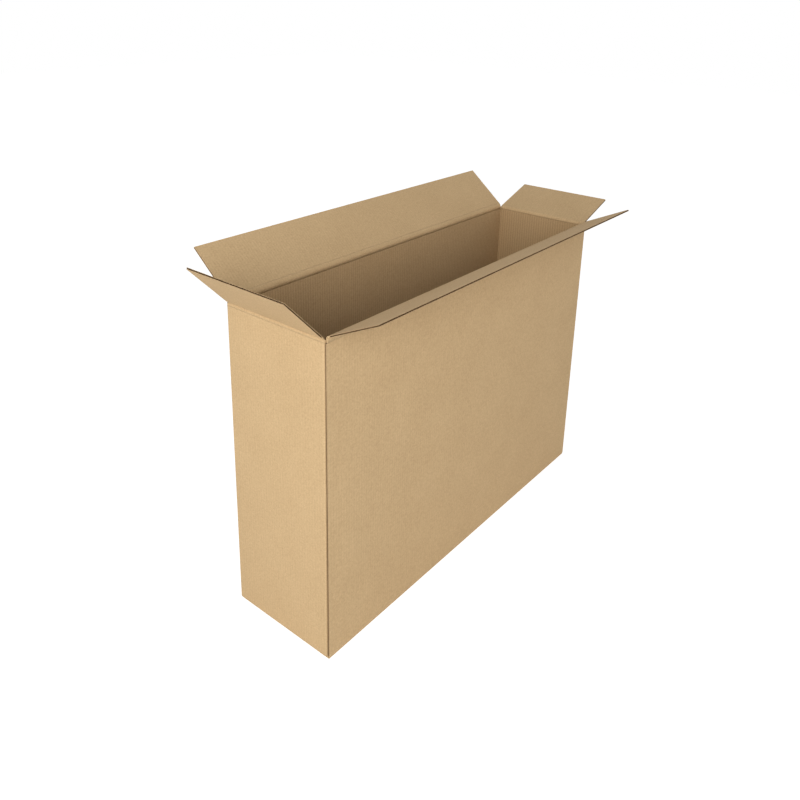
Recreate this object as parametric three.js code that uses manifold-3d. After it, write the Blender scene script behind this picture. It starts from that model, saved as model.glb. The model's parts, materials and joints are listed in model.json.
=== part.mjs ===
// A tall, narrow slotted carton of single-wall corrugated board, standing open on its closed bottom.
// Four wall panels, the bottom flaps and a glue tab are one folded sheet, and four top flaps swing on
// their score lines. Millimetres, +Z up, the long panels along X and the front panel towards -Y.
import * as THREE from "three";
import { mergeVertices } from "three/addons/utils/BufferGeometryUtils.js";
import Module from "manifold-3d";

// Outside of the wall panels, and the height of the long panels' score lines over the floor
const LENGTH = 1082;
const WIDTH = 292;
const HEIGHT = 775;

// The board: two flat liners and the fluted medium between them
const BOARD = 4;
const LINER = 0.45;
const MEDIUM = 0.35;
const FLUTE_PITCH = 7.9;

// How the sheet is slotted, folded and glued
const CORNER_RADIUS = 3.5; // outside of a folded corner
const SLOT_CLEARANCE = 1; // a flap's side edge to the inner face of the panel next to it
const SLOT_PAST_SCORE = 1.5; // how far a slot is cut past the end panel's score line
const SEAM_GAP = 1.5; // between two long flaps that meet in the middle
const LAP_GAP = 0.3; // between a closed short flap and the long flap over it
const TAB_WIDTH = 38;
const JOINT_GAP_TOP = 1.5; // the front panel's raw edge, set back from the glued corner
const JOINT_GAP_FOOT = 4;

// The crushed score line between a panel and its top flap
const FOLD_OUT_LIMIT = 150; // degrees from upright
const FOLD_MARGIN = 1; // degrees left between the two crushed edges at that limit
const NOSE_GAP = 0.35; // from the fold's axis to each crushed edge
const FLAP_SIDE_GAP = 0.3; // a flap's side edge to the slot's side
const CRUSHED_BAND = 3; // flat board between the fold and the first open flutes

// How far each top flap leans out from upright, in degrees
const FRONT_TILT = 64.4;
const BACK_TILT = 50.3;
const LEFT_TILT = 44.2;
const RIGHT_TILT = 71.5;

const SLOT_SETBACK = BOARD + SLOT_CLEARANCE;
const END_SCORE = HEIGHT - BOARD - LAP_GAP;
const FLAP_REACH = (WIDTH - BOARD - SEAM_GAP) / 2;
const CREASE_ANGLE = (180 - FOLD_OUT_LIMIT - FOLD_MARGIN) / 2;
const CREASE_SLOPE = Math.tan(THREE.MathUtils.degToRad(CREASE_ANGLE));
const CREASE_RUN = BOARD / 2 / CREASE_SLOPE;
const WALL_TOP = END_SCORE - SLOT_PAST_SCORE;
const WALL_FOOT = 1.5 * BOARD + SLOT_PAST_SCORE;
const ARC_STEPS = 5;
const OVERLAP = 1; // how far two shapes run into each other before they are joined

const kraft = new THREE.MeshStandardMaterial({ color: 0xc6a377, roughness: 0.85, metalness: 0 });
const kraftFlap = new THREE.MeshStandardMaterial({ color: 0xc9ac86, roughness: 0.85, metalness: 0 });

const wasm = await Module();
wasm.setup();

// A closed geometry as a solid that can be joined and cut
function solid(geometry) {
  const bare = geometry.clone().deleteAttribute("normal").deleteAttribute("uv");
  const merged = mergeVertices(bare, 1e-4);
  return new wasm.Manifold(
    new wasm.Mesh({
      numProp: 3,
      vertProperties: merged.attributes.position.array,
      triVerts: new Uint32Array(merged.index.array),
    }),
  );
}

function geometryOf(made) {
  const { vertProperties, triVerts } = made.getMesh();
  const indexed = new THREE.BufferGeometry()
    .setAttribute("position", new THREE.BufferAttribute(vertProperties, 3))
    .setIndex(new THREE.BufferAttribute(triVerts, 1));
  const geometry = indexed.toNonIndexed();
  geometry.computeVertexNormals();
  return geometry;
}

const extrude = (shape, depth) =>
  new THREE.ExtrudeGeometry(shape, { depth, bevelEnabled: false, curveSegments: ARC_STEPS });

const polygon = (points) => new THREE.Shape(points.map(([x, y]) => new THREE.Vector2(x, y)));

// A section drawn in Y and Z, drawn out along X and centred on it
function beam(section, span) {
  const toXAxis = new THREE.Matrix4().makeBasis(
    new THREE.Vector3(0, 1, 0),
    new THREE.Vector3(0, 0, 1),
    new THREE.Vector3(1, 0, 0),
  );
  return extrude(section, span).applyMatrix4(toXAxis).translate(-span / 2, 0, 0);
}

function block(xs, ys, zs) {
  const [sx, sy, sz] = [xs, ys, zs].map(([low, high]) => high - low);
  const [cx, cy, cz] = [xs, ys, zs].map(([low, high]) => (high + low) / 2);
  return new THREE.BoxGeometry(sx, sy, sz).translate(cx, cy, cz);
}

// The four panels. Each is described facing +Y and then turned about Z to its own side.
const long = { across: LENGTH, offset: WIDTH / 2, score: HEIGHT, foot: 0 };
const short = { across: WIDTH, offset: LENGTH / 2, score: END_SCORE, foot: BOARD };
const panels = [
  { name: "front", turn: 180, tilt: FRONT_TILT, ...long },
  { name: "back", turn: 0, tilt: BACK_TILT, ...long },
  { name: "left", turn: 90, tilt: LEFT_TILT, ...short },
  { name: "right", turn: -90, tilt: RIGHT_TILT, ...short },
];

const spanOf = (panel) => panel.across - 2 * SLOT_SETBACK;

function ontoPanel(geometry, panel) {
  return geometry
    .translate(0, panel.offset - BOARD / 2, 0)
    .rotateZ(THREE.MathUtils.degToRad(panel.turn));
}

// The sheet seen from above, wound from the front panel's right end round to the glue tab
function wrapOutline() {
  const x = LENGTH / 2;
  const y = WIDTH / 2;
  const r = CORNER_RADIUS;
  const tabOuter = -y + BOARD;
  const tabInner = tabOuter + BOARD;
  const s = new THREE.Shape();
  s.moveTo(x - 2 * r, -y);
  s.absarc(x - r, -y + r, r, -Math.PI / 2, 0);
  s.absarc(x - r, y - r, r, 0, Math.PI / 2);
  s.absarc(-x + r, y - r, r, Math.PI / 2, Math.PI);
  s.absarc(-x + r, tabOuter + r, r, Math.PI, Math.PI * 1.5);
  s.lineTo(-x + TAB_WIDTH, tabOuter);
  s.lineTo(-x + TAB_WIDTH, tabInner);
  s.lineTo(-x + BOARD, tabInner);
  s.lineTo(-x + BOARD, y - BOARD);
  s.lineTo(x - BOARD, y - BOARD);
  s.lineTo(x - BOARD, -y + BOARD);
  s.lineTo(x - 2 * r, -y + BOARD);
  return s;
}

// The front panel, whose raw edge leans away from the glued corner towards the floor
function frontPanel() {
  const left = -LENGTH / 2;
  const right = LENGTH / 2 - CORNER_RADIUS;
  const face = polygon([
    [left + JOINT_GAP_FOOT, WALL_FOOT],
    [right, WALL_FOOT],
    [right, WALL_TOP],
    [left + JOINT_GAP_TOP, WALL_TOP],
  ]);
  return extrude(face, BOARD).rotateX(Math.PI / 2).translate(0, -WIDTH / 2 + BOARD, 0);
}

// A panel's lower edge, folded in to its bottom flap
function foldedFoot(panel) {
  const outer = BOARD / 2;
  const low = panel.foot;
  const reach = FLAP_REACH;
  const top = footTop(panel) + OVERLAP;
  const s = new THREE.Shape();
  s.moveTo(outer, top);
  s.lineTo(-outer, top);
  s.lineTo(-outer, low + BOARD);
  s.lineTo(-reach, low + BOARD);
  s.lineTo(-reach, low);
  s.absarc(outer - CORNER_RADIUS, low + CORNER_RADIUS, CORNER_RADIUS, -Math.PI / 2, 0);
  return beam(s, spanOf(panel));
}

const footTop = (panel) => Math.max(panel.foot + BOARD, WALL_FOOT) + OVERLAP;

// A panel's upper edge, crushed from both faces towards the axis of its fold
function crushedRim(panel) {
  const half = BOARD / 2;
  const nose = NOSE_GAP * CREASE_SLOPE;
  const shoulder = panel.score - CREASE_RUN;
  const section = polygon([
    [half, shoulder - OVERLAP],
    [half, shoulder],
    [nose, panel.score - NOSE_GAP],
    [-nose, panel.score - NOSE_GAP],
    [-half, shoulder],
    [-half, shoulder - OVERLAP],
  ]);
  return beam(section, spanOf(panel));
}

// What is cleared between two slots before the rim or the foot is set in, glue tab included
function between(panel, low, high) {
  const half = spanOf(panel) / 2;
  return block([-half, half], [-2.5 * BOARD, BOARD], [low, high]);
}

function cartonBody() {
  const wrap = extrude(wrapOutline(), WALL_TOP - WALL_FOOT).translate(0, 0, WALL_FOOT);
  let body = solid(wrap).add(solid(frontPanel()));
  for (const panel of panels) {
    const shoulder = panel.score - CREASE_RUN;
    const overRim = between(panel, shoulder, HEIGHT);
    const underFoot = between(panel, 0, footTop(panel));
    body = body
      .subtract(solid(ontoPanel(overRim, panel)))
      .subtract(solid(ontoPanel(underFoot, panel)));
  }
  for (const panel of panels)
    body = body
      .add(solid(ontoPanel(crushedRim(panel), panel)))
      .add(solid(ontoPanel(foldedFoot(panel), panel)));
  return body;
}

// The board cut across its flutes, in X along the flap and Y across the board, as convex cells that
// share their corners. The medium is a zigzag of webs between the bends where it meets the liners,
// and the cut at each side leaves the last flute open.
function boardSection(span) {
  const half = BOARD / 2;
  const core = half - LINER;
  const flutes = Math.round(span / FLUTE_PITCH);
  const step = span / flutes / 2;
  const lean = Math.atan2(2 * core, step);
  const inset = MEDIUM / 2 / Math.cos(lean); // from the liner to the tip of the flute behind a bend
  const foot = MEDIUM / 2 / Math.sin(lean); // from a bend's middle to its foot on the liner
  const edge = span / 2;
  const bends = Array.from({ length: 2 * flutes }, (_, i) => {
    const side = i % 2 ? -1 : 1;
    const x = -edge + (i + 0.5) * step;
    return {
      side,
      x,
      tip: [x, side * (core - inset)],
      before: [x - foot, side * core],
      after: [x + foot, side * core],
    };
  });

  const board = [];
  for (const { before, after, tip, x, side } of bends)
    board.push([before, after, tip], [before, after, [x, side * half]]);
  for (let i = 1; i < bends.length; i++) {
    const [a, b] = [bends[i - 1], bends[i]];
    board.push([a.tip, a.after, b.tip, b.before]);
  }
  for (const side of [-1, 1]) {
    const own = bends.filter((bend) => bend.side === side);
    const start = { x: -edge, after: [-edge, side * core] };
    const end = { x: edge, before: [edge, side * core] };
    const stops = [start, ...own, end];
    for (let i = 1; i < stops.length; i++) {
      const [a, b] = [stops[i - 1], stops[i]];
      board.push([a.after, b.before, [b.x, side * half], [a.x, side * half]]);
    }
  }

  const [first, second] = bends;
  const [nextToLast, last] = bends.slice(-2);
  const open = [
    [[-edge, -core], second.before, first.tip, first.before, [-edge, core]],
    [[edge, core], nextToLast.after, last.tip, last.after, [edge, -core]],
  ];
  for (let i = 1; i < bends.length - 1; i++)
    open.push([bends[i - 1].after, bends[i + 1].before, bends[i].tip]);

  const outer = (side) => bends.filter((bend) => bend.side === side).map(({ x }) => x);
  return { board: board.map(anticlockwise), open: open.map(anticlockwise), outer };
}

function anticlockwise(points) {
  const area = THREE.ShapeUtils.area(points.map(([x, y]) => ({ x, y })));
  return area < 0 ? [...points].reverse() : points;
}

// The edges of a set of cells that no other cell shares, each with the cell on its left
function rimOf(cells) {
  const name = ([x, y]) => x.toFixed(4) + " " + y.toFixed(4);
  const edges = new Map();
  for (const cell of cells)
    cell.forEach((p, i) => {
      const q = cell[(i + 1) % cell.length];
      if (!edges.delete(name(q) + " " + name(p))) edges.set(name(p) + " " + name(q), [p, q]);
    });
  return [...edges.values()];
}

// A top flap standing upright on its fold's axis, which lies along X. It is crushed at the fold, flat
// for a short band, and from there to its cut edge the flutes are open channels.
function flapGeometry(panel) {
  const span = spanOf(panel) - 2 * FLAP_SIDE_GAP;
  const half = BOARD / 2;
  const core = half - LINER;
  const edge = span / 2;
  const nose = NOSE_GAP * CREASE_SLOPE;
  const bandTop = CREASE_RUN + CRUSHED_BAND;
  const { board, open, outer } = boardSection(span);

  const corners = [];
  const face = (points) => {
    for (let i = 2; i < points.length; i++) corners.push(points[0], points[i - 1], points[i]);
  };
  const at = (z) => ([x, y]) => [x, y, z];
  const mirrored = (points, sign) => (sign > 0 ? points : [...points].reverse());

  board.forEach((cell) => face(cell.map(at(FLAP_REACH))));
  open.forEach((cell) => face(cell.map(at(bandTop))));
  for (const [p, q] of rimOf(board))
    face([at(bandTop)(p), at(bandTop)(q), at(FLAP_REACH)(q), at(FLAP_REACH)(p)]);

  const profile = [
    [-nose, NOSE_GAP],
    [nose, NOSE_GAP],
    [half, CREASE_RUN],
    [half, bandTop],
    [core, bandTop],
    [-core, bandTop],
    [-half, bandTop],
    [-half, CREASE_RUN],
  ];
  for (const end of [-1, 1]) face(mirrored(profile.map(([y, z]) => [end * edge, y, z]), end));
  for (const side of [-1, 1]) {
    const tip = [edge, -edge].map((x) => [x, side * nose, NOSE_GAP]);
    const low = [edge, -edge].map((x) => [x, side * half, CREASE_RUN]);
    const high = [-edge, ...outer(side), edge].map((x) => [x, side * half, bandTop]);
    face(mirrored([...tip, low[1], low[0]], side));
    face(mirrored([...low, ...high], side));
  }
  const crushed = [[-edge, -nose], [-edge, nose], [edge, nose], [edge, -nose]];
  face(crushed.map(at(NOSE_GAP)));

  const geometry = new THREE.BufferGeometry();
  geometry.setAttribute("position", new THREE.Float32BufferAttribute(corners.flat(), 3));
  geometry.computeVertexNormals();
  return geometry;
}

function topFlap(panel) {
  const mesh = new THREE.Mesh(flapGeometry(panel), kraftFlap);
  mesh.name = "top_flap_" + panel.name;
  const fold = new THREE.Group();
  fold.position.set(0, panel.offset - BOARD / 2, panel.score);
  fold.rotation.x = -THREE.MathUtils.degToRad(panel.tilt);
  fold.add(mesh);
  const side = new THREE.Group();
  side.rotation.z = THREE.MathUtils.degToRad(panel.turn);
  side.add(fold);
  return side;
}

const bodyMesh = new THREE.Mesh(geometryOf(cartonBody()), kraft);
bodyMesh.name = "carton_body";
const upright = new THREE.Group();
upright.add(bodyMesh, ...panels.map(topFlap));

// The origin is on the floor, under the middle of the whole carton with its flaps out
const reach = new THREE.Box3().setFromObject(upright, true);
const middle = reach.getCenter(new THREE.Vector3());
upright.position.set(-middle.x, -middle.y, -reach.min.z);

const carton = new THREE.Group();
carton.add(upright);
export default carton;
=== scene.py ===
# %% [markdown]
# A tall, narrow cardboard carton, open at the top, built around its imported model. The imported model
# holds the sizes and the joints. This lesson adds the look of corrugated board: two paper liners that
# sag a little between the flutes, the wavy medium that shows at every cut edge, the pressed score
# lines that let the flaps turn, and the fibrous kraft paper itself.

# %% Load the frame
import json
import math

import bmesh
import bpy
import numpy as np
from mathutils import Matrix, Vector


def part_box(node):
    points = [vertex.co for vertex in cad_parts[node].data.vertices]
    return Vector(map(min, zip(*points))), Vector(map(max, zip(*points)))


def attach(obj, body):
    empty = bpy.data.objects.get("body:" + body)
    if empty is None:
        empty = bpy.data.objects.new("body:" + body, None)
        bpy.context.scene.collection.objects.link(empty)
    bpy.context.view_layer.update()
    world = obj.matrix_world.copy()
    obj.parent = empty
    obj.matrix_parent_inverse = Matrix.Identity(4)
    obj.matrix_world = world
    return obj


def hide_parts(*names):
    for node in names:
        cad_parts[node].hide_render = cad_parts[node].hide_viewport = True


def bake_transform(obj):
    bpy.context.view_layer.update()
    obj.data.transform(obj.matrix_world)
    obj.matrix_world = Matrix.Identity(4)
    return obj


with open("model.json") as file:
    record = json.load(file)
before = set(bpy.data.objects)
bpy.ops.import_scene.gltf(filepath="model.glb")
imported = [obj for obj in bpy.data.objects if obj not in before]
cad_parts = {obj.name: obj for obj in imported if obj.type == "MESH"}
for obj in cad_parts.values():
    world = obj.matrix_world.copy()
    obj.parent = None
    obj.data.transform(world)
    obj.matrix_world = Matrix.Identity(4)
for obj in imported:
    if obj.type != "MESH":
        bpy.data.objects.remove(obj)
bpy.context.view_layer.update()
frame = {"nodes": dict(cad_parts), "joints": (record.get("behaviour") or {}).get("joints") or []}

joints = {joint["name"]: joint for joint in frame["joints"]}

# %% [markdown]
# Board comes in standard flutes. This one has 7.9 mm from crest to crest and is 4 mm thick. The sizes
# of the carton are read from the frame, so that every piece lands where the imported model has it. Only
# what the frame can't tell, such as the paper's thickness, is written here, in metres.

# %% Sizes
MM = 0.001
BOARD = 4 * MM
LINER = 0.45 * MM
MEDIUM = 0.36 * MM
FLUTE_PITCH = 7.9 * MM
LINER_SAG = 0.16 * MM  # how far a liner dips between two glued crests
FLAP_SAG = 0.1 * MM
SLOT_SETBACK = 5 * MM
FLAP_SIDE_GAP = 0.3 * MM
SEAM_GAP = 1.5 * MM
FOLD_RUN = 7.8 * MM  # from a score line to where the board is flat and open again
CORNER_RADIUS = 2.1 * MM  # of the board's middle line at a folded corner
TAB_WIDTH = 38 * MM
RAW_EDGE_TOP = 1.5 * MM  # the front panel's raw edge, set back from the glued corner
RAW_EDGE_FOOT = 4 * MM
SLOT_PAST_SCORE = 1.5 * MM  # how far a slot runs on into the wall
FOOT_CLEARANCE = 2 * MM  # from the folded bottom flaps up to the plain wall
BOTTOM_GAP = 0.2 * MM  # from a long bottom flap's edge to the middle of the seam

low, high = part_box("carton_body")
LENGTH = high.x - low.x
WIDTH = high.y - low.y
CENTRE = (low + high) / 2
LONG_SCORE = joints["front_flap_fold"]["pos_m"][2]
SHORT_SCORE = joints["left_flap_fold"]["pos_m"][2]
FLAP_REACH = (WIDTH - BOARD - SEAM_GAP) / 2
print(f"carton {LENGTH:.3f} by {WIDTH:.3f} m, score lines at {LONG_SCORE:.4f} and {SHORT_SCORE:.4f} m")

# %% [markdown]
# The four sides differ only in their turn about Z, their width and the height of their score line. A
# flap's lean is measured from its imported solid, so it always agrees with the joint's rest pose.

# %% The four sides
FREE_EDGE_SHARE = 0.9  # a flap's points beyond this share of its reach give its lean


class Side:
    def __init__(self, name, turn, across, offset, score, foot):
        self.name = name
        self.across = across
        self.score = score
        self.foot = foot
        self.body = name + "_flap"
        self.node = "top_flap_" + name
        place = Matrix.Translation((CENTRE.x, CENTRE.y, 0)) @ Matrix.Rotation(math.radians(turn), 4, "Z")
        self.place = place @ Matrix.Translation((0, offset - BOARD / 2, 0))
        self.run = "long" if across == LENGTH else "short"
        inner = self.place.inverted()
        points = np.array([inner @ v.co for v in frame["nodes"][self.node].data.vertices])
        far = points[np.hypot(points[:, 1], points[:, 2] - score) > FREE_EDGE_SHARE * FLAP_REACH]
        self.tilt = math.atan2(far[:, 1].mean(), (far[:, 2] - score).mean())


LONG = dict(across=LENGTH, offset=WIDTH / 2, score=LONG_SCORE, foot=0)
SHORT = dict(across=WIDTH, offset=LENGTH / 2, score=SHORT_SCORE, foot=BOARD)
sides = [
    Side("front", 180, **LONG),
    Side("back", 0, **LONG),
    Side("left", 90, **SHORT),
    Side("right", -90, **SHORT),
]
for side in sides:
    print(f"{side.name} flap leans {math.degrees(side.tilt):.1f} degrees out")

# %% [markdown]
# Shader and geometry maths read best as plain expressions. One class wraps a socket and gives it
# Python's operators, and one method adds any other node with its settings and its inputs.

# %% Node helper
class Value:
    def __init__(self, graph, socket):
        self.graph = graph
        self.socket = socket

    def _math(self, operation, a, b):
        return self.graph.node("ShaderNodeMath", {"operation": operation}, {0: a, 1: b})[0]

    def __add__(self, other):
        return self._math("ADD", self, other)

    def __sub__(self, other):
        return self._math("SUBTRACT", self, other)

    def __mul__(self, other):
        return self._math("MULTIPLY", self, other)

    def __rsub__(self, other):
        return self._math("SUBTRACT", other, self)

    def cos(self):
        return self.graph.node("ShaderNodeMath", {"operation": "COSINE"}, {0: self})[0]


class Graph:
    def __init__(self, tree):
        self.tree = tree

    def node(self, kind, settings=None, inputs=None):
        made = self.tree.nodes.new(kind)
        for key, value in (settings or {}).items():
            if key == "stops":
                self._stops(made.color_ramp, value)
            else:
                setattr(made, key, value)
        for key, value in (inputs or {}).items():
            socket = made.inputs[key]
            if isinstance(value, Value):
                self.tree.links.new(value.socket, socket)
            else:
                socket.default_value = value
        return [Value(self, out) for out in made.outputs]

    @staticmethod
    def _stops(ramp, stops):
        while len(ramp.elements) < len(stops):
            ramp.elements.new(1)
        for element, (position, colour) in zip(ramp.elements, stops):
            element.position = position
            element.color = (*colour, 1)


# %% [markdown]
# Kraft paper is brown pulp: long fibres, a cloudy mix of light and dark, and a matt face that scatters
# light. Noise at three sizes gives the clouds, the flecks and the fibres. A faint upright stripe pattern
# at the flute pitch is painted light and shade for the liner's washboard ripple; it runs with Object
# coordinates, so the pattern stays put when the camera moves. Colours are written as the paper looks in
# plain light. The walls' inside is painted browner than the outside, as painted shade for the inside of
# the box, and its painted stripe pattern is stronger.

# %% Paper finishes
OBJECT_COORDINATES = 3  # the output of a Texture Coordinate node
CLOUD_SCALE = 9.0
FLECK_SCALE = 260.0
FIBRE_SCALE = (300.0, 300.0, 1900.0)  # finer in height, so that the fibres lie level
CLOUD_SHARE = 0.14
FLECK_SHARE = 0.5
FIBRE_SHARE = 0.36
DARKEST, LIGHTEST = 0.3, 0.7
RELIEF = 0.0003


def linear(r, g, b):
    """An 8-bit display colour as the linear numbers that a shader takes."""
    return tuple(((c / 255 + 0.055) / 1.055) ** 2.4 for c in (r, g, b))


def paper(name, dark, light, along=(1, 0), painted_ripple_shade=0.0, roughness=0.82):
    """A kraft paper. along says how far X and Y each carry the painted ripple-shade stripe pattern on."""
    material = bpy.data.materials.new(name)
    material.use_nodes = True
    g = Graph(material.node_tree)
    shader = material.node_tree.nodes["Principled BSDF"]
    where = g.node("ShaderNodeTexCoord")[OBJECT_COORDINATES]
    clouds = g.node("ShaderNodeTexNoise", {}, {"Vector": where, "Scale": CLOUD_SCALE, "Detail": 4.0})[0]
    flecks = g.node("ShaderNodeTexNoise", {}, {"Vector": where, "Scale": FLECK_SCALE, "Detail": 3.0})[0]
    stretched = g.node("ShaderNodeMapping", {}, {"Vector": where, "Scale": FIBRE_SCALE})[0]
    fibres = g.node("ShaderNodeTexNoise", {}, {"Vector": stretched, "Scale": 1.0, "Detail": 2.0})[0]
    mix = clouds * CLOUD_SHARE + flecks * FLECK_SHARE + fibres * FIBRE_SHARE
    # Painted light and shade: a cosine at the flute pitch stands in for the liner's washboard ripple lit from
    # the side.
    if painted_ripple_shade:
        axes = g.node("ShaderNodeSeparateXYZ", {}, {0: where})
        turn = (axes[0] * along[0] + axes[1] * along[1]) * (2 * math.pi / FLUTE_PITCH)
        mix = mix + turn.cos() * painted_ripple_shade
    stops = [(DARKEST, linear(*dark)), (LIGHTEST, linear(*light))]
    colour = g.node("ShaderNodeValToRGB", {"stops": stops}, {0: mix})[0]
    material.node_tree.links.new(colour.socket, shader.inputs["Base Color"])
    rough = flecks * 0.12 + (roughness - 0.06)
    material.node_tree.links.new(rough.socket, shader.inputs["Roughness"])
    relief = fibres + flecks * 0.7
    bump = g.node("ShaderNodeBump", {}, {"Strength": 0.25, "Distance": RELIEF, "Height": relief})[0]
    material.node_tree.links.new(bump.socket, shader.inputs["Normal"])
    shader.inputs["Specular IOR Level"].default_value = 0.25
    return material


KRAFT = ((178, 149, 109), (206, 177, 135))
# Painted shade: the inside walls take a darker brown that stands in for the shade inside the box.
KRAFT_INSIDE_PAINTED_SHADE = ((163, 134, 96), (189, 159, 119))
ALONG = {"long": (1, 0), "short": (0, 1), "wrap": (1, 1)}
# The stripe strengths are painted ripple shade: faint outside and on the flaps, strong on the inside walls.
outer_paper = {k: paper("kraft_outer_" + k, *KRAFT, along, painted_ripple_shade=0.02) for k, along in ALONG.items()}
inner_paper = {k: paper("kraft_inner_" + k, *KRAFT, ALONG[k], painted_ripple_shade=0.015) for k in ("long", "short")}
# The inside walls get the darker painted-shade paper and a strong painted stripe pattern.
inner_paper["wrap"] = paper("kraft_inner_wrap", *KRAFT_INSIDE_PAINTED_SHADE, ALONG["wrap"], painted_ripple_shade=0.1)
# Painted shade: the medium's darker brown stands in for the shade in the hollow flute ends at every cut edge.
flute_paper = paper("flute_paper", (96, 73, 49), (124, 97, 67), roughness=0.9)
print("papers:", [m.name for m in bpy.data.materials if "kraft" in m.name or "flute" in m.name])

# %% [markdown]
# Corrugated board follows one rule wherever it goes: three layers of paper drawn out along the flutes.
# So one Geometry Nodes tree makes it all. It takes a path seen from above, offsets it sideways for each
# layer, by a cosine for the wavy medium and by a shallow sag for the liners, and sweeps an upright
# strip of paper along it. The walls, the corner pieces and the flaps are all made by this tree.

# %% The corrugated board tree
POINTS_A_FLUTE = 8


def board_tree(outer, inner, medium):
    tree = bpy.data.node_groups.new("corrugated_board", "GeometryNodeTree")
    face = tree.interface
    face.new_socket("Geometry", in_out="INPUT", socket_type="NodeSocketGeometry")
    sizes = {"Height": 0.1, "Pitch": FLUTE_PITCH, "Phase": 0.0}
    sizes |= {"Board": BOARD, "Liner": LINER, "Medium": MEDIUM, "Sag": LINER_SAG}
    for name, value in sizes.items():
        face.new_socket(name, in_out="INPUT", socket_type="NodeSocketFloat").default_value = value
    face.new_socket("Geometry", in_out="OUTPUT", socket_type="NodeSocketGeometry")
    g = Graph(tree)
    geometry, height, pitch, phase, board, liner_t, medium_t, sag = g.node("NodeGroupInput")[:8]
    path = g.node("GeometryNodeMeshToCurve", {}, {0: geometry})[0]
    step = pitch * (1 / POINTS_A_FLUTE)
    fine = g.node("GeometryNodeResampleCurve", {"mode": "LENGTH"}, {"Curve": path, "Length": step})[0]
    along = g.node("GeometryNodeSplineParameter")[1]
    tangent = g.node("GeometryNodeInputTangent")[0]
    outward = g.node("ShaderNodeVectorMath", {"operation": "CROSS_PRODUCT"}, {0: tangent, 1: (0, 0, 1)})[0]
    flutes = g.node("ShaderNodeMath", {"operation": "DIVIDE"}, {0: along, 1: pitch})[0]
    wave = (flutes * (2 * math.pi) + phase).cos()
    middle = (board - liner_t) * 0.5
    layers = [
        (middle - (1 - wave) * 0.5 * sag, liner_t, outer),
        ((middle - liner_t * 0.5 - medium_t * 0.5) * wave, medium_t, medium),
        (0 - middle + (wave + 1) * 0.5 * sag, liner_t, inner),
    ]
    join = tree.nodes.new("GeometryNodeJoinGeometry")
    for sideways, thickness, material in layers:
        move = g.node("ShaderNodeVectorMath", {"operation": "SCALE"}, {0: outward, "Scale": sideways})[0]
        moved = g.node("GeometryNodeSetPosition", {}, {"Geometry": fine, "Offset": move})[0]
        upright = g.node("GeometryNodeSetCurveNormal", {"mode": "Z_UP"}, {"Curve": moved})[0]
        size = {"Width": thickness, "Height": height}
        strip = g.node("GeometryNodeCurvePrimitiveQuadrilateral", {"mode": "RECTANGLE"}, size)[0]
        sweep = {"Curve": upright, "Profile Curve": strip, "Fill Caps": True}
        swept = g.node("GeometryNodeCurveToMesh", {}, sweep)[0]
        done = g.node("GeometryNodeSetMaterial", {}, {"Geometry": swept, "Material": material})[0]
        tree.links.new(done.socket, join.inputs[0])
    real = g.node("GeometryNodeRealizeInstances", {}, {0: Value(g, join.outputs[0])})[0]
    flat = g.node("GeometryNodeSetShadeSmooth", {}, {0: real, "Shade Smooth": False})[0]
    out = tree.nodes.new("NodeGroupOutput")
    tree.links.new(flat.socket, out.inputs[0])
    return tree


def mesh_object(name, vertices, faces=(), edges=()):
    mesh = bpy.data.meshes.new(name)
    mesh.from_pydata([tuple(v) for v in vertices], edges, faces)
    made = bpy.data.objects.new(name, mesh)
    bpy.context.scene.collection.objects.link(made)
    return made


def corrugated(name, path, height, tree, phase=0.0, sag=LINER_SAG):
    """Board swept along a path at the middle of its height, as a plain mesh."""
    guide = mesh_object(name + "_path", path, edges=[(i, i + 1) for i in range(len(path) - 1)])
    modifier = guide.modifiers.new("board", "NODES")
    modifier.node_group = tree
    sockets = {item.name: item.identifier for item in tree.interface.items_tree if item.in_out == "INPUT"}
    modifier[sockets["Height"]] = height
    modifier[sockets["Phase"]] = phase
    modifier[sockets["Sag"]] = sag
    made = bpy.data.meshes.new_from_object(guide.evaluated_get(bpy.context.evaluated_depsgraph_get()))
    guide.modifiers.remove(modifier)
    bpy.data.objects.remove(guide)
    made.name = name
    piece = bpy.data.objects.new(name, made)
    bpy.context.scene.collection.objects.link(piece)
    print(name, len(made.polygons), "faces")
    return piece


trees = {k: board_tree(outer_paper[k], inner_paper[k], flute_paper) for k in ALONG}

# %% [markdown]
# The walls are one strip of board wound round four corners, from the front panel's raw edge to the glue
# tab inside it. The path is the board's middle line seen from above, with a small arc at each corner.
# The raw edge isn't quite upright on the real box: the gap at the glued corner widens to the floor.
# How far along the sheet the middle of each side lies is kept, so that flaps and folds continue the
# same flutes.

# %% Walls and glue tab
ARC_STEPS = 4
half_x = LENGTH / 2 - BOARD / 2
half_y = WIDTH / 2 - BOARD / 2


def corner(x, y, start):
    """Points of a corner's arc round its own centre, turning left from the heading start, in degrees."""
    turns = [math.radians(start - 90 + 90 * k / ARC_STEPS) for k in range(ARC_STEPS + 1)]
    return [(x + CORNER_RADIUS * math.cos(t), y + CORNER_RADIUS * math.sin(t)) for t in turns]


def at_height(points, z):
    return [(CENTRE.x + x, CENTRE.y + y, z) for x, y in points]


inside_x = half_x - CORNER_RADIUS
inside_y = half_y - CORNER_RADIUS
corners = {
    "front_right": corner(inside_x, -inside_y, 0),
    "back_right": corner(inside_x, inside_y, 90),
    "back_left": corner(-inside_x, inside_y, 180),
    "front_left": corner(-inside_x, -inside_y + BOARD, 270),
}
raw_start = [(-LENGTH / 2 + RAW_EDGE_TOP, -half_y)]
tab_end = [(-LENGTH / 2 + TAB_WIDTH, -half_y + BOARD)]
wound = raw_start + [p for name in corners for p in corners[name]] + tab_end

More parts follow.
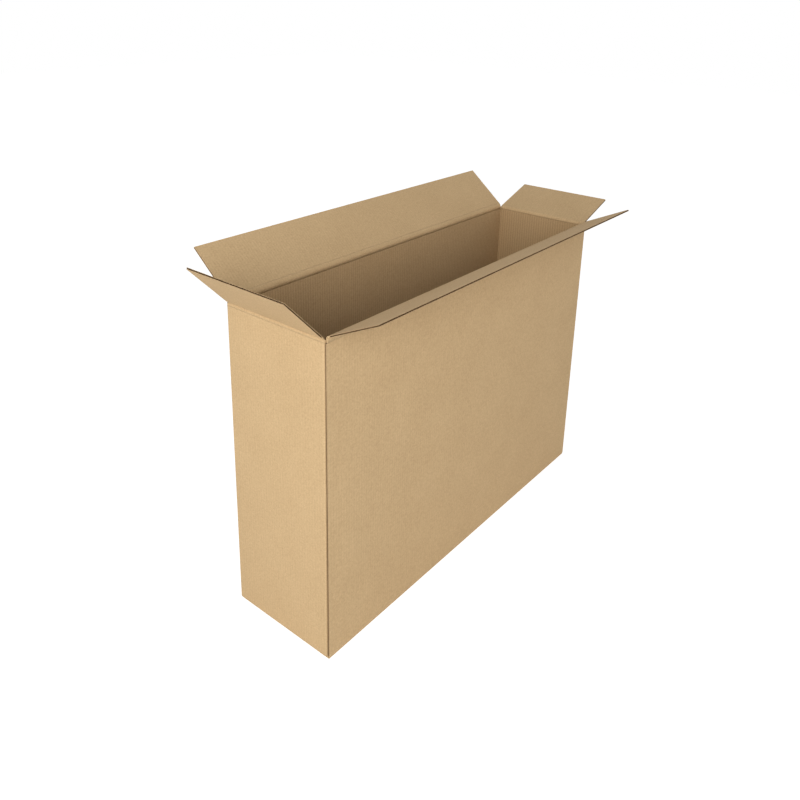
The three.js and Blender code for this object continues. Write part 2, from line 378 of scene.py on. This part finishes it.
WALL_TOP = SHORT_SCORE - FOLD_RUN
WALL_FOOT = 2 * BOARD + FOOT_CLEARANCE
middle_z = (WALL_TOP + WALL_FOOT) / 2
walls = corrugated("carton_walls", at_height(wound, middle_z), WALL_TOP - WALL_FOOT, trees["wrap"])

RAW_EDGE_DEPTH = 1 * MM  # the edge's own points lie within this
raw_x = CENTRE.x - LENGTH / 2 + RAW_EDGE_TOP
front_y = CENTRE.y - WIDTH / 2 + BOARD
for vertex in walls.data.vertices:
    if vertex.co.x < raw_x + RAW_EDGE_DEPTH and vertex.co.y < front_y - LINER / 2:
        drop = (LONG_SCORE - vertex.co.z) / LONG_SCORE
        vertex.co.x += (RAW_EDGE_FOOT - RAW_EDGE_TOP) * drop
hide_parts("carton_body")
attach(walls, "carton")


def path_length(points):
    return sum(math.dist(a, b) for a, b in zip(points, points[1:]))


middles = {"front": (0, -half_y), "right": (half_x, 0), "back": (0, half_y), "left": (-half_x, 0)}
before_middle = raw_start
for side_name, corner_name in zip(middles, corners):
    side = next(s for s in sides if s.name == side_name)
    side.wound = path_length(before_middle + [middles[side_name]])
    before_middle = before_middle + corners[corner_name]
    print(f"the middle of the {side_name} side is {side.wound:.4f} m along the sheet")


# %% [markdown]
# Between two slots, the board at each corner stands up to the slots' ends. These four little angle
# pieces carry the corner past the fold, and four more do the same at the foot.

# %% Corner ends
HEADINGS = {"front_right": (1, 0), "back_right": (0, 1), "back_left": (-1, 0), "front_left": (0, -1)}


def corner_end(name, low_z, high_z, label):
    points = corners[name]
    (x0, y0), (x1, y1) = points[0], points[-1]
    heading = HEADINGS[name]
    leaving = (-heading[1], heading[0])
    run = SLOT_SETBACK - BOARD / 2 - CORNER_RADIUS
    before = (x0 - heading[0] * run, y0 - heading[1] * run)
    after = (x1 + leaving[0] * run, y1 + leaving[1] * run)
    path = at_height([before, *points, after], (low_z + high_z) / 2)
    piece = corrugated(f"corner_{label}_{name}", path, high_z - low_z, trees["wrap"])
    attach(piece, "carton")


for name in corners:
    corner_end(name, WALL_TOP, SHORT_SCORE - SLOT_PAST_SCORE, "top")
    corner_end(name, 1.5 * BOARD + SLOT_PAST_SCORE, WALL_FOOT, "foot")

# %% [markdown]
# A score line is board pressed thin so that it bends there. Seen in section it is full board, then a
# groove in both faces, then full board again. The piece is drawn upright, and every point is then
# turned about the score by a share of the flap's lean that grows smoothly across the fold.

# %% Folded strips
PRESSED = 1.5 * MM  # the board's thickness at the score
GROOVE = 4.2 * MM  # half the groove's width
GROOVE_UNDER_FLAP = 6.8 * MM  # on a short flap, which lies under the long ones when closed
BEND = 3.5 * MM  # half the length over which the fold turns
GROOVE_POINTS = 8  # across half a groove
TOP_COLUMNS = 8  # points across one flute
BOTTOM_COLUMNS = 4


def smooth(t):
    t = np.clip(t, 0, 1)
    return t * t * (3 - 2 * t)


def strip_stations(below, above, groove_above):
    """Distances from the score line, close together where the groove is."""
    lower = np.linspace(-GROOVE, 0, GROOVE_POINTS)
    upper = np.linspace(0, groove_above, GROOVE_POINTS + 1)[1:]
    return np.concatenate([[-below], lower, upper, [above]])


def folded_strip(name, side, score, below, above, tilt, fineness, upward=1):
    """A closed strip of board across a score line, from below to above it, folded out by tilt."""
    span = side.across - 2 * SLOT_SETBACK
    columns = max(8, round(span / FLUTE_PITCH) * fineness)
    xs = np.linspace(-span / 2, span / 2, columns + 1)
    groove_above = GROOVE_UNDER_FLAP if side.run == "short" and upward == 1 else GROOVE
    v = strip_stations(below, above, groove_above)
    groove = smooth(1 - np.abs(v) / np.where(v < 0, GROOVE, groove_above))
    half = BOARD / 2 - (BOARD - PRESSED) / 2 * groove
    wave = np.cos(2 * math.pi * (side.wound - xs) / FLUTE_PITCH)
    sag = LINER_SAG * (1 - groove)
    outer = half[None] - sag[None] * (1 - wave[:, None]) / 2
    inner = -half[None] + sag[None] * (1 + wave[:, None]) / 2
    ring_v = np.concatenate([v, v[::-1]])
    ring_w = np.concatenate([outer, inner[:, ::-1]], axis=1)
    angle = tilt * smooth((ring_v + BEND) / (2 * BEND))
    y = ring_w * np.cos(angle) + ring_v * np.sin(angle)
    z = ring_v * np.cos(angle) - ring_w * np.sin(angle)
    x = np.broadcast_to(xs[:, None], y.shape)
    points = np.stack([x, y, score + upward * z], axis=-1)
    count = points.shape[1]
    faces = []
    for i in range(columns):
        for k in range(count):
            n = (k + 1) % count
            faces.append((i * count + k, i * count + n, (i + 1) * count + n, (i + 1) * count + k))
    half_count = count // 2
    for end in (0, columns):
        for k in range(half_count - 1):
            a, b = k, k + 1
            faces.append(tuple(end * count + j for j in (a, count - 1 - a, count - 1 - b, b)))
    piece = mesh_object(name, points.reshape(-1, 3), faces)
    bm = bmesh.new()
    bm.from_mesh(piece.data)
    bmesh.ops.recalc_face_normals(bm, faces=bm.faces)
    bm.to_mesh(piece.data)
    bm.free()
    piece.data.transform(side.place)
    piece.data.materials.append(outer_paper[side.run])
    piece.data.shade_smooth()
    print(name, len(piece.data.polygons), "faces")
    return piece


# %% [markdown]
# Each top fold bends between the carton and its flap. The points where the bend starts and ends lie on
# the board's middle line, the same distance before and after the score.

# %% Top folds
for side in sides:
    name = f"fold_{side.name}"
    drop = side.score - WALL_TOP
    fold = folded_strip(name, side, side.score, drop, FOLD_RUN, side.tilt, TOP_COLUMNS)
    start = side.place @ Vector((0, 0, side.score - BEND))
    end = side.place @ Vector((0, BEND * math.sin(side.tilt), side.score + BEND * math.cos(side.tilt)))
    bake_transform(fold)

# %% [markdown]
# The bottom flaps are the same folded strip turned upside down and folded inwards by a right angle, the
# short ones one board higher than the long ones. They are glued and never move.

# %% Bottom flaps
BOTTOM_REACH = (WIDTH - BOARD) / 2 - BOTTOM_GAP
for side in sides:
    score = side.foot + BOARD / 2
    name = f"bottom_flap_{side.name}"
    rise = WALL_FOOT - score
    bottom = folded_strip(name, side, score, rise, BOTTOM_REACH, -math.pi / 2, BOTTOM_COLUMNS, -1)
    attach(bottom, "carton")

# %% [markdown]
# A flap is a straight run of the same corrugated board, cut square. Its three layers of paper are real,
# so its cut edge shows the row of flute ends. It is made upright and then leant out about its score.

# %% Top flaps
for side in sides:
    span = side.across - 2 * SLOT_SETBACK - 2 * FLAP_SIDE_GAP
    height = FLAP_REACH - FOLD_RUN
    path = [(span / 2, 0, 0), (-span / 2, 0, 0)]
    phase = 2 * math.pi * (side.wound - span / 2) / FLUTE_PITCH
    leaf = corrugated(f"flap_{side.name}", path, height, trees[side.run], phase, FLAP_SAG)
    leaf.data.transform(Matrix.Translation((0, 0, FOLD_RUN + height / 2)))
    lean = Matrix.Translation((0, 0, side.score)) @ Matrix.Rotation(-side.tilt, 4, "X")
    leaf.data.transform(side.place @ lean)
    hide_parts(side.node)
    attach(leaf, side.body)

# %% [markdown]
# The box stands on a plain pale floor. The light comes mostly from around it, as between studio
# screens, with a dimmer ceiling. A large soft lamp on the left makes the left end the brightest side,
# and a weak one in front lights the back flap. The camera sees a white world, and so do gloss and
# glass. The floor gives off a little white to the camera, enough to lift it to white and keep the
# box's soft shadow on it, but none under the box, where it would shine through the seam.

# %% Floor, world and lamps
HORIZON_LIGHT = 0.92
CEILING_LIGHT = 0.32
FLOOR_HALF = 12.0
FLOOR_GREY = 0.8
FLOOR_LIFT = 0.62
MASK_INSET = 12 * MM  # how far inside the box's foot the lift stops
CAMERA_RAY, GLOSSY_RAY, TRANSMISSION_RAY = 0, 3, 6  # the outputs of a Light Path node
GENERATED_COORDINATES = 0


def seen_directly(g):
    """One for camera, glossy and transmission rays, and zero for the light that falls on things."""
    rays = g.node("ShaderNodeLightPath")
    return g.node("ShaderNodeClamp", {}, {0: rays[CAMERA_RAY] + rays[GLOSSY_RAY] + rays[TRANSMISSION_RAY]})[0]


def mix_colours(g, factor, first, second):
    """A colour that goes from first to second as the factor goes from zero to one."""
    return g.node("ShaderNodeMix", {"data_type": "RGBA"}, {0: factor, 6: first, 7: second})[2]


def grey(value):
    return (value, value, value)


world = bpy.data.worlds.new("studio")
world.use_nodes = True
bpy.context.scene.world = world
g = Graph(world.node_tree)
sky = world.node_tree.nodes["Background"]
direction = g.node("ShaderNodeTexCoord")[GENERATED_COORDINATES]
height = g.node("ShaderNodeSeparateXYZ", {}, {0: direction})[2]
stops = [(0.0, grey(HORIZON_LIGHT)), (0.3, grey(HORIZON_LIGHT)), (0.75, grey(CEILING_LIGHT))]
light = g.node("ShaderNodeValToRGB", {"stops": stops}, {0: height})[0]
colour = mix_colours(g, seen_directly(g), light, (*grey(1), 1))
world.node_tree.links.new(colour.socket, sky.inputs["Color"])

around = [(x * FLOOR_HALF, y * FLOOR_HALF, 0) for x, y in ((-1, -1), (1, -1), (1, 1), (-1, 1))]
floor = mesh_object("floor", around, [(0, 1, 2, 3)])
floor_white = bpy.data.materials.new("floor_white")
floor_white.use_nodes = True
g = Graph(floor_white.node_tree)
floor_shader = floor_white.node_tree.nodes["Principled BSDF"]
floor_shader.inputs["Base Color"].default_value = (*grey(FLOOR_GREY), 1)
floor_shader.inputs["Roughness"].default_value = 0.9
floor_shader.inputs["Specular IOR Level"].default_value = 0
floor_shader.inputs["Emission Strength"].default_value = 1
across = g.node("ShaderNodeSeparateXYZ", {}, {0: g.node("ShaderNodeTexCoord")[OBJECT_COORDINATES]})
compare = {"operation": "COMPARE"}
under_x = g.node("ShaderNodeMath", compare, {0: across[0], 1: CENTRE.x, 2: LENGTH / 2 - MASK_INSET})[0]
under_y = g.node("ShaderNodeMath", compare, {0: across[1], 1: CENTRE.y, 2: WIDTH / 2 - MASK_INSET})[0]
lifted = seen_directly(g) * (1 - under_x * under_y)
glow = mix_colours(g, lifted, (*grey(0), 1), (*grey(FLOOR_LIFT), 1))
floor_white.node_tree.links.new(glow.socket, floor_shader.inputs["Emission Color"])
floor.data.materials.append(floor_white)


def area_lamp(name, place, target, size, watts):
    lamp = bpy.data.lights.new(name, "AREA")
    lamp.shape = "SQUARE"
    lamp.size = size
    lamp.energy = watts
    made = bpy.data.objects.new(name, lamp)
    made.location = place
    made.rotation_euler = (Vector(target) - Vector(place)).to_track_quat("-Z", "Y").to_euler()
    bpy.context.scene.collection.objects.link(made)
    return made


area_lamp("key", place=(-3.2, -1.5, 2.0), target=(0, 0, 0.4), size=2.2, watts=88.0)
area_lamp("front", place=(-0.9, -3.0, 2.6), target=(0, 0.2, 0.8), size=2.0, watts=9.0)

# %% [markdown]
# The camera was found by matching fifteen corners of the box in the photograph. The middle of that
# picture lies off the lens's axis, as with a shifted lens, and its upright edges are nearly parallel.
# The full shift would cut the top off in the views from other sides, so a smaller one is used here.

# %% Camera
CAMERA_AZIMUTH = math.radians(-51.31)
CAMERA_ELEVATION = math.radians(18.09)
CAMERA_ROLL = math.radians(1.33)
CAMERA_DISTANCE = 1.9371 * LENGTH
CAMERA_ASIDE = -0.0725 * LENGTH
CAMERA_ABOVE = 0.3564 * LENGTH
FOCAL_PX = 786.0  # for a picture 800 pixels wide
PICTURE_PX = 800
SHIFT_UP = -0.19

camera = bpy.data.cameras.new("camera")
camera.sensor_width = 36
camera.lens = FOCAL_PX / PICTURE_PX * camera.sensor_width
camera.shift_y = SHIFT_UP
back = Vector(
    (
        math.sin(CAMERA_AZIMUTH) * math.cos(CAMERA_ELEVATION),
        -math.cos(CAMERA_AZIMUTH) * math.cos(CAMERA_ELEVATION),
        math.sin(CAMERA_ELEVATION),
    )
)
level = (-back).cross(Vector((0, 0, 1))).normalized()
upward = level.cross(-back)
right = math.cos(CAMERA_ROLL) * level + math.sin(CAMERA_ROLL) * upward
upward = math.cos(CAMERA_ROLL) * upward - math.sin(CAMERA_ROLL) * level
aim = Vector((CENTRE.x, CENTRE.y, LONG_SCORE / 2))
spot = aim + back * CAMERA_DISTANCE + right * CAMERA_ASIDE + upward * CAMERA_ABOVE
camera_object = bpy.data.objects.new("camera", camera)
camera_object.matrix_world = Matrix.Translation(spot) @ Matrix((right, upward, back)).transposed().to_4x4()
bpy.context.scene.collection.objects.link(camera_object)
bpy.context.scene.camera = camera_object
bpy.context.scene.view_settings.view_transform = "Standard"
print("camera at", tuple(round(c, 3) for c in spot), "lens", round(camera.lens, 2), "mm")
